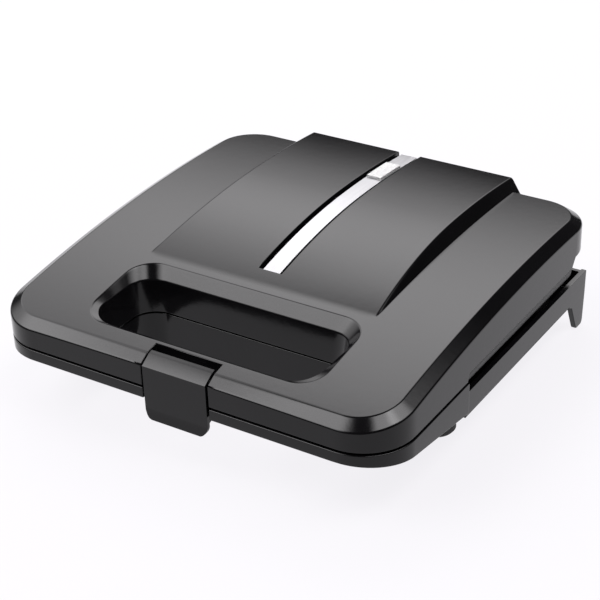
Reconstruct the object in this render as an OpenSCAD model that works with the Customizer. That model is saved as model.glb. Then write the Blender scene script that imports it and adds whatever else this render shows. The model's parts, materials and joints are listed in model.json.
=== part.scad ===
// Donut maker: a clamshell appliance with two ring-cavity plates, a through handle and a front latch.
// The origin is at the middle of the footprint, on the table. +X is right, +Y is back, +Z is up.

/* [Housing] */
// Width of the housing
housing_w = 240; // [236:1:244]
// Depth of the housing, without the latch
housing_d = 240; // [238:1:242]
// Radius of the housing's corners in plan
corner_r = 28; // [20:1:34]
// Wall thickness of the moulded shells
wall = 2.5; // [2:0.1:3]
// Height of the joint between base and lid above the table
seam_z = 40; // [39.5:0.1:40.5]
// Gap between the base and the lid at that joint
seam_gap = 1.4; // [1:0.1:1.8]

/* [Lid] */
// Height of the lid's side shelves at their highest point
shelf_top = 71.1; // [70:0.1:73]
// Radius of the shelves' front-to-back crown
crown_r = 940; // [850:10:1100]
// Distance of the crown's highest point from the front
crown_y = 171; // [165:1:176]
// Width of the bevel round the lid's top
bevel_in = 6.5; // [4:0.5:8]
// Drop of that bevel
bevel_drop = 4; // [2:0.5:6]
// Height of the raised centre panel at its highest point
panel_top = 78.4; // [77:0.1:80]
// Half width of the raised panel at its foot
panel_half = 70.5; // [66:0.5:74]
// Half width of the brushed strip
strip_half = 5.2; // [4:0.1:7]

/* [Handle] */
// Half width of the handle opening at the joint
grip_half = 65.5; // [60:0.5:67]
// Front of the handle opening
grip_front = 18.6; // [18:0.1:20]
// Back of the handle opening
grip_back = 65.4; // [62:0.1:67]

/* [Latch] */
// Half width of the latch
latch_half = 19.1; // [17:0.1:21]
// How far the latch's thumb lip stands out in front of the housing
latch_proud = 1.4; // [1.2:0.1:2]

/* [Cooking plates] */
// Distance between the donut rings across the plate
ring_pitch_x = 62; // [60:1:64]
// Distance between the two rows of rings
ring_pitch_y = 62; // [60:1:64]
// Radius of the ring's centre line
ring_r = 18; // [16:0.5:19]
// Radius of the ring's round section
ring_section_r = 9; // [7:0.5:10]

/* [Hidden] */
$fn = 64;
arc_fn = 720;

front_y = -(housing_d - latch_proud) / 2;
half_w = housing_w / 2;
base_top = seam_z - seam_gap / 2;
lid_bottom = seam_z + seam_gap / 2;

// Stepped lower edge of the lid, from the front
step_y = 82;
lid_side_edge = 45.3;
overhang_y = 207;
overhang_edge = 50.5;

// Sloped underside of the base's handle part
base_front_z = 33.2;
rail_bottom = 19.3;
slope_end_y = 100;
skirt_z = 17;

// Tub, side rails and rear legs of the base
tub_half = 108;
tub_front = 78;
tub_back = 228.4;
tub_floor = 8;
rail_top = 33.5;
rail_t = 3;
rail_in = 0.8;
foot_x = 96.6;
trough_floor_t = 2.2;
rail_out = half_w - rail_in;
back_wall_t = 2.9;

// Cooking plates
plate_half = 102;
plate_y0 = 83.5;
plate_y1 = 215.5;
plate_mid_y = (plate_y0 + plate_y1) / 2;
plate_t = 2.5;
plate_gap = 0.35;
lower_face = seam_z - plate_gap / 2;
upper_face = seam_z + plate_gap / 2;
plate_fit = 0.4;
post_r = 4;
post_x = 92;
post_y = [94, 205];
bar_x = ring_pitch_x / 2;
tube_r = 3.25;
tube_depth = ring_section_r + plate_t + tube_r;
bar_t = 1;
pan_t = 0.8;
pan_depth = tube_depth + tube_r + bar_t;
lug_t = 2;
lug_depth = plate_t + 1.35;

// Screws
screw_r = 1.5;
screw_clear_r = 1.7;
head_r = 3.2;
head_h = 1.8;
fit = 0.05;

// Hinge at the back
hinge_y = 226;
hinge_z = 42;
knuckle_r = 6;
knuckle_x = 69;
knuckle_half = 4.7;
ear_t = 5;
ear_gap = 0.4;
hinge_pin_r = 2;

// Latch and its pocket
pocket_half = latch_half + 1.1;
pocket_back = 14;
pocket_floor = 46;
notch_back = 5.2;
latch_y = 5;
latch_z = 52;
latch_pin_r = 1.25;
latch_boss_r = 3;

// Brushed strip and indicator lens
groove_depth = 2.6;
strip_sink = 1.3;
strip_y0 = 89.5;
lens_half = 4.6;
lens_y0 = 197.5;
lens_y1 = 220;
stem_half = 3.4;

// Cord gland
gland_x = 40;
gland_z = 18;
gland_bore_r = 3.4;
gland_r = 5.5;

// Lid screws, [x, y, top of the boss]
lid_screws_front = [[96, 24, 57.8], [96, 74, 64.5]];
lid_screws_side = [[113, 120, 66.4], [113, 195, 66.4]];
flange_z = 47;
base_screw_x = 96;
base_screw_y = [24, 66];
base_boss_z = [34.5, 30];
base_head_z = [32, 26.5];

black = [0.05, 0.05, 0.055];
dark = [0.12, 0.12, 0.125];
coat = [0.16, 0.15, 0.15];
steel = [0.7, 0.7, 0.72];

// ---- helpers ----

module in_place() translate([0, front_y, 0]) children();

module both_sides() {
    children();
    mirror([1, 0, 0]) children();
}

// Extrudes an outline given in (y, z) along X, centred
module along_x(w) rotate([90, 0, 90]) linear_extrude(w, center = true) children();

// Rectangle with round corners, half width hw, from y0 to y1
module round_rect(hw, y0, y1, r) {
    translate([-hw + r, y0]) square([2 * hw - 2 * r, y1 - y0]);
    translate([-hw, y0 + r]) square([2 * hw, y1 - y0 - 2 * r]);
    for (x = [-hw + r, hw - r], y = [y0 + r, y1 - r])
        translate([x, y]) circle(r);
}

module prism(hw, y0, y1, r, z0, z1)
    translate([0, 0, z0]) linear_extrude(z1 - z0) round_rect(hw, y0, y1, r);

module box(hw, y0, y1, z0, z1)
    translate([-hw, y0, z0]) cube([2 * hw, y1 - y0, z1 - z0]);

module block(x0, x1, y0, y1, z0, z1)
    translate([x0, y0, z0]) cube([x1 - x0, y1 - y0, z1 - z0]);

// Ring sector round the crown's axis; outline points are [radius, x]
module crown_sector(outline)
    translate([0, crown_y, shelf_top - crown_r])
        rotate([0, -90, 0]) rotate([0, 0, -13])
            rotate_extrude(angle = 20, $fn = arc_fn) polygon(outline);

function unit(v) = v / norm(v);

// Point at fraction t between b and c on a smooth curve through a, b, c and d
function on_curve(a, b, c, d, t) = b + (c - a) * t / 2
    + (2 * a - 5 * b + 4 * c - d) * t * t / 2 + (3 * b - a - 3 * c + d) * t * t * t / 2;

// Smooth curve through the points p, with n steps from each to the next
function curve(p, n) = [
    for (i = [0:len(p) - 2], k = [0:n - 1])
        on_curve(p[max(i - 1, 0)], p[i], p[i + 1], p[min(i + 2, len(p) - 1)], k / n),
    p[len(p) - 1]];

// Lead of radius r along a smooth curve through the points
module wire(points, r) {
    sides = 8;
    path = curve(points, 5);
    last = len(path) - 1;
    aside = unit([0.31, 0.57, 0.76]);
    rings = [for (i = [0:last])
        let (t = unit(path[min(i + 1, last)] - path[max(i - 1, 0)]), u = unit(cross(t, aside)),
            v = cross(t, u))
        for (k = [0:sides - 1]) path[i] + r * (cos(k * 360 / sides) * u + sin(k * 360 / sides) * v)];
    polyhedron(rings, concat([[for (k = [sides - 1:-1:0]) k]],
        [[for (k = [0:sides - 1]) last * sides + k]],
        [for (i = [0:last - 1], k = [0:sides - 1]) let (n = (k + 1) % sides)
            [i * sides + k, i * sides + n, (i + 1) * sides + n, (i + 1) * sides + k]]));
}

module screw(z_head, z_tip, up) {
    translate([0, 0, up ? z_head - head_h : z_head]) cylinder(h = head_h, r = head_r);
    translate([0, 0, min(z_head, z_tip)]) cylinder(h = abs(z_tip - z_head), r = screw_r);
}

// ---- lid outline ----

// Side view of the raised panel, lowered by drop
module panel_side(drop) {
    front_r = 370;
    back_r = 650;
    intersection() {
        translate([crown_y, panel_top - drop - front_r]) circle(front_r, $fn = arc_fn);
        translate([0, 10]) square([crown_y, 80]);
    }
    intersection() {
        translate([crown_y, panel_top - drop - back_r]) circle(back_r, $fn = arc_fn);
        translate([crown_y, 10]) square([80, 80]);
    }
}

// Lid solid without its hollow, every face moved in by inset
module lid_solid(inset) {
    hw = half_w - inset;
    top = crown_r - inset;
    foot = panel_half - inset;
    intersection() {
        prism(hw, inset, housing_d - inset, corner_r - inset, 20, 90);
        union() {
            intersection() {
                crown_sector([[top - 60, -hw], [top - bevel_drop, -hw], [top, -hw + bevel_in],
                    [top, hw - bevel_in], [top - bevel_drop, hw], [top - 60, hw]]);
                along_x(300) bevelled_side(inset);
            }
            intersection() {
                crown_sector([[top - 60, -foot], [top, -foot], [top + 12, -foot + 7.3],
                    [top + 12, foot - 7.3], [top, foot], [top - 60, foot]]);
                along_x(200) panel_side(inset);
            }
        }
    }
}

// Side view that bevels the lid's front and back edges
module bevelled_side(inset) {
    slope = bevel_drop / bevel_in;
    front_top = 52.7 - inset;
    back_top = 64.6 - inset;
    polygon([[-10, 0], [-10, front_top - (inset + 10) * slope],
        [inset + 50, front_top + 50 * slope],
        [housing_d - inset - 40, back_top + 40 * slope],
        [housing_d + 10, back_top - (inset + 10) * slope], [housing_d + 10, 0]]);
}

module below_lid_edge()
    along_x(300) polygon([[-10, -10], [-10, lid_bottom], [step_y, lid_bottom],
        [step_y, lid_side_edge], [overhang_y, lid_side_edge], [overhang_y, overhang_edge],
        [260, overhang_edge], [260, -10]]);

// Handle opening, with a bevel at its sides and back
module grip_cut() {
    top = crown_r + 3;
    deep = crown_r - 8;
    low = grip_half - 1;
    high = grip_half + 7;
    prism(grip_half, grip_front, grip_back, 13, 0, 90);
    intersection() {
        crown_sector([[deep, -low], [top, -high], [top, high], [deep, low]]);
        along_x(200) polygon([[16.5, 50], [16.5, 80], [grip_back + 8.5, 72],
            [grip_back - 1, 57.6], [grip_back - 1, 50]]);
    }
}

module grip_wall(z0, z1) prism(grip_half + 2, grip_front - 2, grip_back + 2, 15, z0, z1);

module lid_boss(p, z) translate([p[0], p[1], z]) cylinder(h = p[2] - z, r = 4);

module screw_hole(p, top) translate([p[0], p[1], lid_bottom])
    cylinder(h = top - lid_bottom, r = screw_r + fit);

module knuckle() translate([knuckle_x - knuckle_half, hinge_y, hinge_z])
    rotate([0, 90, 0]) cylinder(h = 2 * knuckle_half, r = knuckle_r);

module lid_shell() color(black) in_place() difference() {
    union() {
        difference() {
            lid_solid(0);
            lid_solid(wall);
            below_lid_edge();
        }
        intersection() {
            lid_solid(0);
            union() {
                grip_wall(lid_bottom, 80);
                intersection() {
                    prism(75, 14.7, 76, 16, 45, 80);
                    crown_sector([[crown_r - 10, -76], [crown_r + 4, -76], [crown_r + 4, 76],
                        [crown_r - 10, 76]]);
                }
                box(pocket_half + 2.6, 0, pocket_back + 2, pocket_floor - 2.5, 80);
                box(pocket_half + 2.6, 0, notch_back + 2.3, lid_bottom, pocket_floor);
            }
        }
        both_sides() {
            for (p = lid_screws_front) lid_boss(p, pocket_floor + fit);
            for (p = lid_screws_side) lid_boss(p, flange_z + 2 + fit);
            knuckle();
            block(knuckle_x - knuckle_half, knuckle_x + knuckle_half,
                hinge_y - 4.5, hinge_y + 4.5, hinge_z, 68);
            // walls round the lamps
            block(9.2, 11.4, 190, 228, 62, 74.5);
        }
        // backing of the strip's groove
        intersection() {
            along_x(2 * strip_half + 6) difference() {
                panel_side(1);
                panel_side(groove_depth + 2.2);
            }
            box(20, strip_y0 - 3, housing_d - 4, 50, 90);
        }
    }
    grip_cut();
    box(pocket_half, -10, notch_back, 0, 90);
    box(pocket_half, -10, pocket_back, pocket_floor, 90);
    translate([-30, latch_y, latch_z]) rotate([0, 90, 0])
        cylinder(h = 60, r = latch_pin_r, $fn = 48);
    // groove for the strip
    difference() {
        box(strip_half + 0.2, strip_y0 - 0.2, 260, 60, 90);
        along_x(40) panel_side(groove_depth);
    }
    box(stem_half + 0.2, lens_y0 + 1.8, lens_y1 - 1.8, 60, 90);
    both_sides() {
        for (p = lid_screws_front) screw_hole(p, 54.2);
        for (p = lid_screws_side) screw_hole(p, 56.2);
        translate([knuckle_x - 20, hinge_y, hinge_z])
            rotate([0, 90, 0]) cylinder(h = 40, r = hinge_pin_r + fit);
    }
}

// Inner panel that closes the lid's underside round the plate
module lid_liner() color(black) in_place() difference() {
    inner = wall + 0.3;
    union() {
        intersection() {
            prism(half_w - inner, inner, 160, corner_r - inner, lid_bottom, lid_bottom + 2);
            box(half_w, 0, step_y, lid_bottom, lid_bottom + 2);
        }
        box(109, step_y - 2, 217.5, lid_bottom, lid_bottom + 2);
        // skirt round the plate
        difference() {
            box(109, step_y - 2, 217.5, lid_bottom, 54);
            box(107, step_y, 215.9, 0, 60);
            box(107, -10, 100, 49, 60);
            box(120, -10, overhang_y, 49, 60);
        }
        both_sides() {
            block(107, half_w - inner, step_y - 2, step_y, lid_bottom, flange_z + 2);
            block(107, half_w - inner, step_y - 2, overhang_y + 2, flange_z, flange_z + 2);
            block(107, half_w - inner, overhang_y, overhang_y + 2, flange_z, 54);
            // lip that shows below the lid's side
            translate([0, overhang_y + 1.8, 0]) rotate([90, 0, 0])
                linear_extrude(overhang_y - tub_front - 4.6) liner_lip();
            // lugs that carry the plate
            for (y = post_y)
                block(post_x - 6, 108, y - 6, y + 6, upper_face + lug_depth,
                    upper_face + lug_depth + lug_t);
            for (p = lid_screws_front)
                translate([p[0], p[1], lid_bottom])
                    cylinder(h = pocket_floor - lid_bottom, r = 5);
        }
        // cover over the hinge space
        intersection() {
            prism(half_w - inner, 100, housing_d - inner, corner_r - inner, 52, 54);
            box(half_w, overhang_y, 250, 52, 54);
        }
    }
    box(plate_half + plate_fit, plate_y0 - plate_fit, plate_y1 + plate_fit, 0,
        upper_face + plate_t + 0.6);
    box(plate_half - 7, plate_y0 + 18, plate_y1 - 18, 0, 60);
    box(107, step_y + 2, 215.4, 50, 60);
    grip_wall_clear();
    box(pocket_half + 2.9, -10, notch_back + 2.6, 0, 60);
    // hole for the lid's leads
    block(38, 54, 217, 230, 50, 60);
    both_sides() {
        block(knuckle_x - knuckle_half - ear_t - 1.5, knuckle_x + knuckle_half + ear_t + 1.5,
            218, 233, 50, 60);
        for (p = lid_screws_front) translate([p[0], p[1], 0]) {
            cylinder(h = 44, r = head_r + 0.3);
            cylinder(h = 60, r = screw_clear_r);
        }
        for (p = lid_screws_side) translate([p[0], p[1], 0]) {
            cylinder(h = flange_z, r = head_r + 0.3);
            cylinder(h = 60, r = screw_clear_r);
        }
        for (y = post_y) translate([post_x, y, 0]) cylinder(h = 60, r = screw_clear_r);
    }
}

// Section of the liner's side lip, (x, z)
module liner_lip() polygon([[114.6, flange_z + 1], [114.6, 40], [115.2, 38.2], [116, 37.6],
    [117, 37.9], [117.9, 39], [118.6, 40.8], [119, 43], [119.1, 44.9],
    [half_w - wall - 0.3, 44.9], [half_w - wall - 0.3, flange_z + 1]]);

module grip_wall_clear() prism(grip_half + 2.3, grip_front - 2.3, grip_back + 2.3, 15.3, 0, 60);

module trim_strip() color([0.85, 0.85, 0.87]) in_place() difference() {
    intersection() {
        box(strip_half, strip_y0, housing_d - 0.5, 60, 90);
        lid_solid(0.6);
        along_x(20) panel_side(strip_sink);
    }
    along_x(30) panel_side(strip_sink + 1.1);
    box(lens_half + 0.1, lens_y0 - 0.1, lens_y1 + 0.1, 60, 90);
}

module indicator_lens() color([0.72, 0.72, 0.72]) in_place() {
    intersection() {
        difference() {
            box(lens_half, lens_y0, lens_y1, 60, 90);
            along_x(30) panel_side(groove_depth - 0.1);
        }
        along_x(30) panel_side(-0.1);
    }
    intersection() {
        box(stem_half, lens_y0 + 2, lens_y1 - 2, 68, 90);
        along_x(30) panel_side(1.5);
    }
}

module lamp_holder() color([0.8, 0.8, 0.76]) in_place() difference() {
    box(8.6, 192, 226, 62.5, 67.6);
    box(4.2, 196, 222, 63.8, 90);
}

module neon_lamps() color([0.85, 0.45, 0.2]) in_place()
    for (y = [203, 214.5]) translate([0, y, 65.6]) rotate([90, 0, 0]) {
        cylinder(h = 6.5, r = 1.7, center = true, $fn = 32);
        translate([0, 0, 3.2]) sphere(1.7, $fn = 32);
    }

// ---- heating half, drawn face up with the plate's face at z = 0 ----

module ring_places() for (i = [-1, 0, 1], j = [-0.5, 0.5])
    translate([i * ring_pitch_x, plate_mid_y + j * ring_pitch_y, 0]) children();

module half_ring(r) rotate_extrude() intersection() {
    translate([ring_r, 0]) circle(r);
    translate([0, -30]) square([60, 30]);
}

module plate() difference() {
    union() {
        prism(plate_half, plate_y0, plate_y1, 6, -plate_t, 0);
        ring_places() half_ring(ring_section_r + plate_t);
        for (x = [-post_x, post_x], y = post_y)
            translate([x, y, -lug_depth]) cylinder(h = lug_depth - 1, r = post_r);
        for (x = [-bar_x, bar_x])
            translate([x, plate_mid_y, -tube_depth - tube_r])
                cylinder(h = tube_depth + tube_r - 1, r = post_r);
    }
    ring_places() half_ring(ring_section_r);
    for (x = [-post_x, post_x], y = post_y)
        translate([x, y, -10]) cylinder(h = 9, r = screw_r + fit);
    for (x = [-bar_x, bar_x])
        translate([x, plate_mid_y, -30]) cylinder(h = 26, r = screw_r + fit);
}

module element() translate([0, plate_mid_y, -tube_depth]) {
    bend_x = -55;
    end_x = 76;
    run_y = ring_pitch_y / 2;
    translate([bend_x, 0, 0]) rotate([0, 0, 90])
        rotate_extrude(angle = 180) translate([run_y, 0]) circle(tube_r, $fn = 48);
    for (s = [-1, 1]) translate([0, s * run_y, 0]) rotate([0, 90, 0]) {
        translate([0, 0, bend_x]) cylinder(h = end_x - bend_x, r = tube_r, $fn = 48);
        translate([0, 0, end_x - 1]) cylinder(h = 6, r = tube_r + 0.5, $fn = 48);
        translate([-0.4, -3.1, end_x + 4]) cube([0.8, 6.2, 10]);
    }
}

module clamp_bars() for (x = [-bar_x, bar_x]) difference() {
    translate([0, 0, -pan_depth]) linear_extrude(bar_t)
        translate([x, 0]) round_rect(6, plate_mid_y - 38, plate_mid_y + 38, 4);
    translate([x, plate_mid_y, -30]) cylinder(h = 20, r = screw_clear_r);
}

module clamp_screws() for (x = [-bar_x, bar_x])
    translate([x, plate_mid_y, 0]) screw(-pan_depth - pan_t, -8, true);

module reflector() difference() {
    union() {
        prism(96.8, 103, 196, 8, -pan_depth - pan_t, -pan_depth);
        difference() {
            prism(96.8, 103, 196, 8, -pan_depth - pan_t, -12);
            prism(96, 103.8, 195.2, 7.2, -40, 0);
        }
    }
    for (x = [-bar_x, bar_x]) translate([x, plate_mid_y, -40]) cylinder(h = 60, r = screw_clear_r);
    // gap for the leads
    block(80, 100, plate_mid_y - 36, plate_mid_y + 36, -pan_depth, 0);
}

module plate_screws() for (x = [-post_x, post_x], y = post_y)
    translate([x, y, 0]) screw(-lug_depth - lug_t, -1.6, true);

module lower() in_place() translate([0, 0, lower_face]) children();

module upper() in_place() translate([0, 0, upper_face]) mirror([0, 0, 1]) children();

module lower_plate() color(coat) lower() plate();
module lower_element() color(steel) lower() element();
module lower_clamp_bars() color(steel) lower() clamp_bars();
module lower_clamp_screws() color(steel) lower() clamp_screws();
module lower_reflector() color(steel) lower() reflector();
module lower_plate_screws() color(steel) lower() plate_screws();
module upper_plate() color(coat) upper() plate();
module upper_element() color(steel) upper() element();
module upper_clamp_bars() color(steel) upper() clamp_bars();
module upper_clamp_screws() color(steel) upper() clamp_screws();
module upper_reflector() color(steel) upper() reflector();
module upper_plate_screws() color(steel) upper() plate_screws();

// ---- base ----

// Side outline of the sloped handle part, with its underside raised by lift
module handle_side(lift, top) {
    slope = (base_front_z - rail_bottom) / slope_end_y;
    polygon([[-5, base_front_z + 5 * slope + lift], [tub_front + 6, base_front_z
        - (tub_front + 6) * slope + lift], [tub_front + 6, top], [-5, top]]);
}

module handle_part(inset, lift, top) intersection() {
    prism(half_w - inset, inset, 160, corner_r - inset, 0, 60);
    along_x(300) handle_side(lift, top);
}

module rear_leg_side() polygon([[205, rail_bottom + 1], [208.5, rail_bottom],
    [211.5, rail_bottom - 1.8], [218.4, 2.4], [219.4, 0.6], [221, 0], [225.4, 0],
    [227, 0.8], [227.8, 2.6], [229.2, 20], [229.8, rail_top], [205, rail_top]]);

module base_shell() color(black) in_place() difference() {
    union() {
        // handle part
        difference() {
            handle_part(0, 0, base_top);
            handle_part(wall, 2.2, 60);
        }
        intersection() {
            handle_part(0, 0, base_top);
            union() {
                grip_wall(0, base_top);
                box(pocket_half + 2.3, 0, notch_back + 2.3, 0, base_top);
                both_sides() for (i = [0, 1])
                    translate([base_screw_x, base_screw_y[i], 10])
                        cylinder(h = base_boss_z[i] - 10, r = 5.5);
            }
        }
        // skirt that carries the back of the handle opening down
        intersection() {
            grip_wall(0, base_front_z);
            along_x(200) polygon([[40, 35], [40, 27.5], [58, skirt_z], [75, skirt_z], [75, 35]]);
        }
        // tub
        difference() {
            prism(tub_half, tub_front, tub_back, 6, tub_floor, base_top);
            prism(tub_half - wall, tub_front + wall, tub_back - back_wall_t, 4,
                tub_floor + wall, 60);
        }
        both_sides() {
            // side trough with its rail
            block(tub_half - 1, rail_out, tub_front + 4, tub_back, rail_bottom,
                rail_bottom + trough_floor_t);
            block(rail_out - rail_t, rail_out, tub_front + 4, tub_back - 8, rail_bottom, rail_top);
            block(tub_half - 1, rail_out, tub_back - back_wall_t, tub_back, rail_bottom,
                rail_top);
            translate([rail_out - rail_t / 2, 0, 0]) along_x(rail_t) rear_leg_side();
            // hinge ears
            for (s = [-1, 1]) {
                ear_x = knuckle_x + s * (knuckle_half + ear_gap + ear_t / 2);
                translate([ear_x, hinge_y, hinge_z]) rotate([0, 90, 0])
                    cylinder(h = ear_t, r = knuckle_r, center = true);
                block(ear_x - ear_t / 2, ear_x + ear_t / 2, hinge_y - knuckle_r,
                    hinge_y + 2.4, 28, hinge_z);
            }
            // foot seats
            translate([foot_x, 93, tub_floor]) cylinder(h = 5.5, r = 6);
        }
    }
    prism(grip_half, grip_front, grip_back, 13, 0, 60);
    box(pocket_half, -10, notch_back, 0, 60);
    box(tub_half - wall, tub_front - 1, tub_front + wall + 1, base_top - 2.3, 60);
    both_sides() {
        for (i = [0, 1]) translate([base_screw_x, base_screw_y[i], 0]) {
            cylinder(h = base_head_z[i], r = head_r + 0.3);
            cylinder(h = 60, r = screw_clear_r);
        }
        block(knuckle_x - knuckle_half - ear_gap, knuckle_x + knuckle_half + ear_gap,
            215, 240, 35.2, 60);
        translate([knuckle_x - 20, hinge_y, hinge_z])
            rotate([0, 90, 0]) cylinder(h = 40, r = hinge_pin_r);
        translate([foot_x, 93, 0]) cylinder(h = 30, r = 2.5);
    }
    for (i = [-4:4]) if (i != 0) block(i * 16 - 1.5, i * 16 + 1.5, 125, 174, 0, 12);
    translate([gland_x, 200, gland_z]) rotate([-90, 0, 0]) cylinder(h = 60, r = gland_r);
}

// Top panel of the base: handle cover and frame round the plate
module base_liner() color(black) in_place() difference() {
    inner = wall + 0.3;
    union() {
        intersection() {
            prism(half_w - inner, inner, 160, corner_r - inner, base_top - 2.2, base_top);
            box(half_w, 0, tub_front - 0.3, base_top - 2.2, base_top);
        }
        box(tub_half - wall - 4.3, tub_front - 1, tub_front + 10, base_top - 2.2, base_top);
        prism(tub_half - inner, tub_front + inner, tub_back - back_wall_t - 0.3, 4,
            base_top - 2.2, base_top);
        // skirt and lugs that carry the plate
        difference() {
            prism(tub_half - inner, tub_front + inner, 218, 4.5, 33, base_top);
            box(tub_half - inner - 1.8, tub_front + inner + 1.6, 216, 0, 60);
        }
        both_sides() {
            for (y = post_y)
                block(post_x - 6, tub_half - inner, y - 6, y + 6,
                    lower_face - lug_depth - lug_t, lower_face - lug_depth);
            for (i = [0, 1])
                translate([base_screw_x, base_screw_y[i], base_boss_z[i] + fit])
                    cylinder(h = base_top - base_boss_z[i] - 1, r = 4.5);
        }
    }
    box(plate_half + plate_fit, plate_y0 - plate_fit, plate_y1 + plate_fit,
        lower_face - plate_t - 0.6, 60);
    box(plate_half - 7, plate_y0 + 18, plate_y1 - 18, 0, 60);
    box(plate_half + 0.5, plate_y0 + 18, plate_y1 - 18, 0, 34);
    grip_wall_clear();
    box(pocket_half + 2.6, -10, notch_back + 2.6, 0, 60);
    both_sides() {
        for (i = [0, 1]) translate([base_screw_x, base_screw_y[i], 0])
            cylinder(h = base_top - 2, r = screw_r + fit);
        for (y = post_y) translate([post_x, y, 0]) cylinder(h = 60, r = screw_clear_r);
        block(knuckle_x - knuckle_half - ear_t - 1, knuckle_x + knuckle_half + ear_t + 1,
            218.5, 240, 0, 60);
    }
    block(9, 19, 218.5, 240, 0, 60);
}

module front_feet() color([0.08, 0.08, 0.08]) in_place() both_sides()
    translate([foot_x, 93, 0]) {
        cylinder(h = 1.2, r1 = 9.6, r2 = 10.6);
        translate([0, 0, 1.2]) cylinder(h = tub_floor - 1.2, r = 10.6);
        cylinder(h = 15, r = 2.5 - fit);
        translate([0, 0, 13.55]) cylinder(h = 1.6, r = 3.6);
    }

module base_screws() color(steel) in_place() both_sides() for (i = [0, 1])
    translate([base_screw_x, base_screw_y[i], 0]) screw(base_head_z[i], 37, true);

module lid_screws() color(steel) in_place() both_sides() {
    for (p = lid_screws_front) translate([p[0], p[1], 0]) screw(44, 54, true);
    for (p = lid_screws_side) translate([p[0], p[1], 0]) screw(flange_z, 56, true);
}

module thermostat() color([0.75, 0.73, 0.68]) lower()
    translate([88, plate_mid_y, 0]) {
        translate([0, 0, -4.2]) cylinder(h = 1.7, r = 8);
        translate([0, 0, -10]) cylinder(h = 6, r = 7);
        for (s = [-1, 1]) translate([-0.4, s * 4 - 1.6, -15]) cube([0.8, 3.2, 6]);
    }

module thermal_fuse() color([0.85, 0.83, 0.75]) lower()
    translate([-94, plate_mid_y, -2.5 - 2.2]) rotate([90, 0, 0])
        cylinder(h = 24, r = 2.2, center = true, $fn = 32);

module terminal_block() color([0.92, 0.92, 0.9]) in_place() difference() {
    block(-4, 22, 206, 217, 10.5, 20.5);
    for (i = [0, 1, 2]) translate([0.5 + i * 8.5, 200, 14.5]) rotate([-90, 0, 0])
        cylinder(h = 30, r = 2, $fn = 32);
    for (i = [0, 1, 2]) translate([0.5 + i * 8.5, 211.5, 14.5])
        cylinder(h = 10, r = 1.6, $fn = 32);
}

module cord_gland() color(dark) in_place() translate([gland_x, 0, gland_z])
    rotate([-90, 0, 0]) difference() {
        union() {
            translate([0, 0, 219]) cylinder(h = 15.5, r = gland_r - fit);
            translate([0, 0, tub_back + fit]) cylinder(h = 2.4, r = gland_r + 1.6);
            translate([0, 0, 222]) cylinder(h = 3.45, r = gland_r + 1.2);
        }
        translate([0, 0, 200]) cylinder(h = 60, r = gland_bore_r);
    }

module base_wiring() color([0.8, 0.78, 0.72]) in_place() {
    wire([[17.5, 220.5, 14.5], [17.5, 217.4, 14.5]], 1.5);
    wire([[0.5, 218.9, 14.5], [-8, 219.5, 14.5], [-20, 220, 14.5], [-60, 220, 14.6],
        [-88, 219, 15], [-98, 212, 15.4], [-100, 200, 16], [-100.5, 180, 17.5],
        [-101, 170, 22], [-101, 165.5, 31], [-98, 163.6, 35.2], [-94, 163.4, 35.2]], 1.1);
    wire([[17.5, 205, 14.5], [30, 204, 14.5], [60, 203, 14.5], [88, 202, 15], [98, 196, 15.6],
        [100.5, 184, 16.5], [101, 166, 19], [101, 157, 22.5], [99.5, 153.8, 26.2],
        [95, 153.5, 26.8], [92, 153.5, 26.6]], 1.1);
}

module hinge_wire_sleeve() color([0.86, 0.84, 0.78]) in_place()
    wire([[14, 222.3, 22], [14, 222.3, 37.4], [14, hinge_y, hinge_z],
        [38, hinge_y, hinge_z]], 2.2);

module lid_wiring() color([0.8, 0.78, 0.72]) in_place() {
    wire([[40.8, 224.9, 42], [43, 223.6, 43.4], [46, 222, 47], [49, 221, 55], [56, 218, 59.5],
        [75, 212, 60], [92, 207, 59.5], [99, 199, 58], [100, 188, 56.5], [98.5, 182, 55.4],
        [91.6, 180.5, 55]], 1.0);
    wire([[40.8, 227.1, 42], [42.5, 226.6, 43.2], [44, 225.2, 46], [45, 224, 55],
        [40, 223, 59.4], [30, 222.5, 59.8], [14, 220, 59.8], [8, 216, 60], [6.2, 213.8, 61.2],
        [6.2, 213.5, 62.45]], 0.9);
}

module hinge_pins() color(steel) in_place() both_sides()
    translate([knuckle_x - knuckle_half - ear_t - 1.4, hinge_y, hinge_z]) rotate([0, 90, 0]) {
        cylinder(h = 2 * knuckle_half + 2 * ear_t + 2.4, r = hinge_pin_r);
        cylinder(h = 1, r = 3.2);
    }

module latch_pin() color(steel) in_place() translate([-pocket_half - 2, latch_y, latch_z])
    rotate([0, 90, 0]) cylinder(h = 2 * pocket_half + 4, r = latch_pin_r, $fn = 48);

// ---- latch ----

module latch_side() {
    polygon([[8.6, 57.4], [5.9, 56.6], [-0.3, 52.7], [-0.3, 28], [-0.6, 25.6],
        [-latch_proud, 23.2], [-latch_proud + 0.1, 22.4], [-latch_proud + 0.8, 22.2],
        [0.6, 23.8], [1.5, 25.8], [1.8, 28.4], [1.8, 30], [4.9, 31.2], [4.9, 32.6],
        [2.6, 33], [1.9, 34.6], [1.6, 38.4], [1.6, 50.2], [2.2, 51.8], [6.5, 54.9],
        [8.6, 55.6]]);
}

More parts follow.
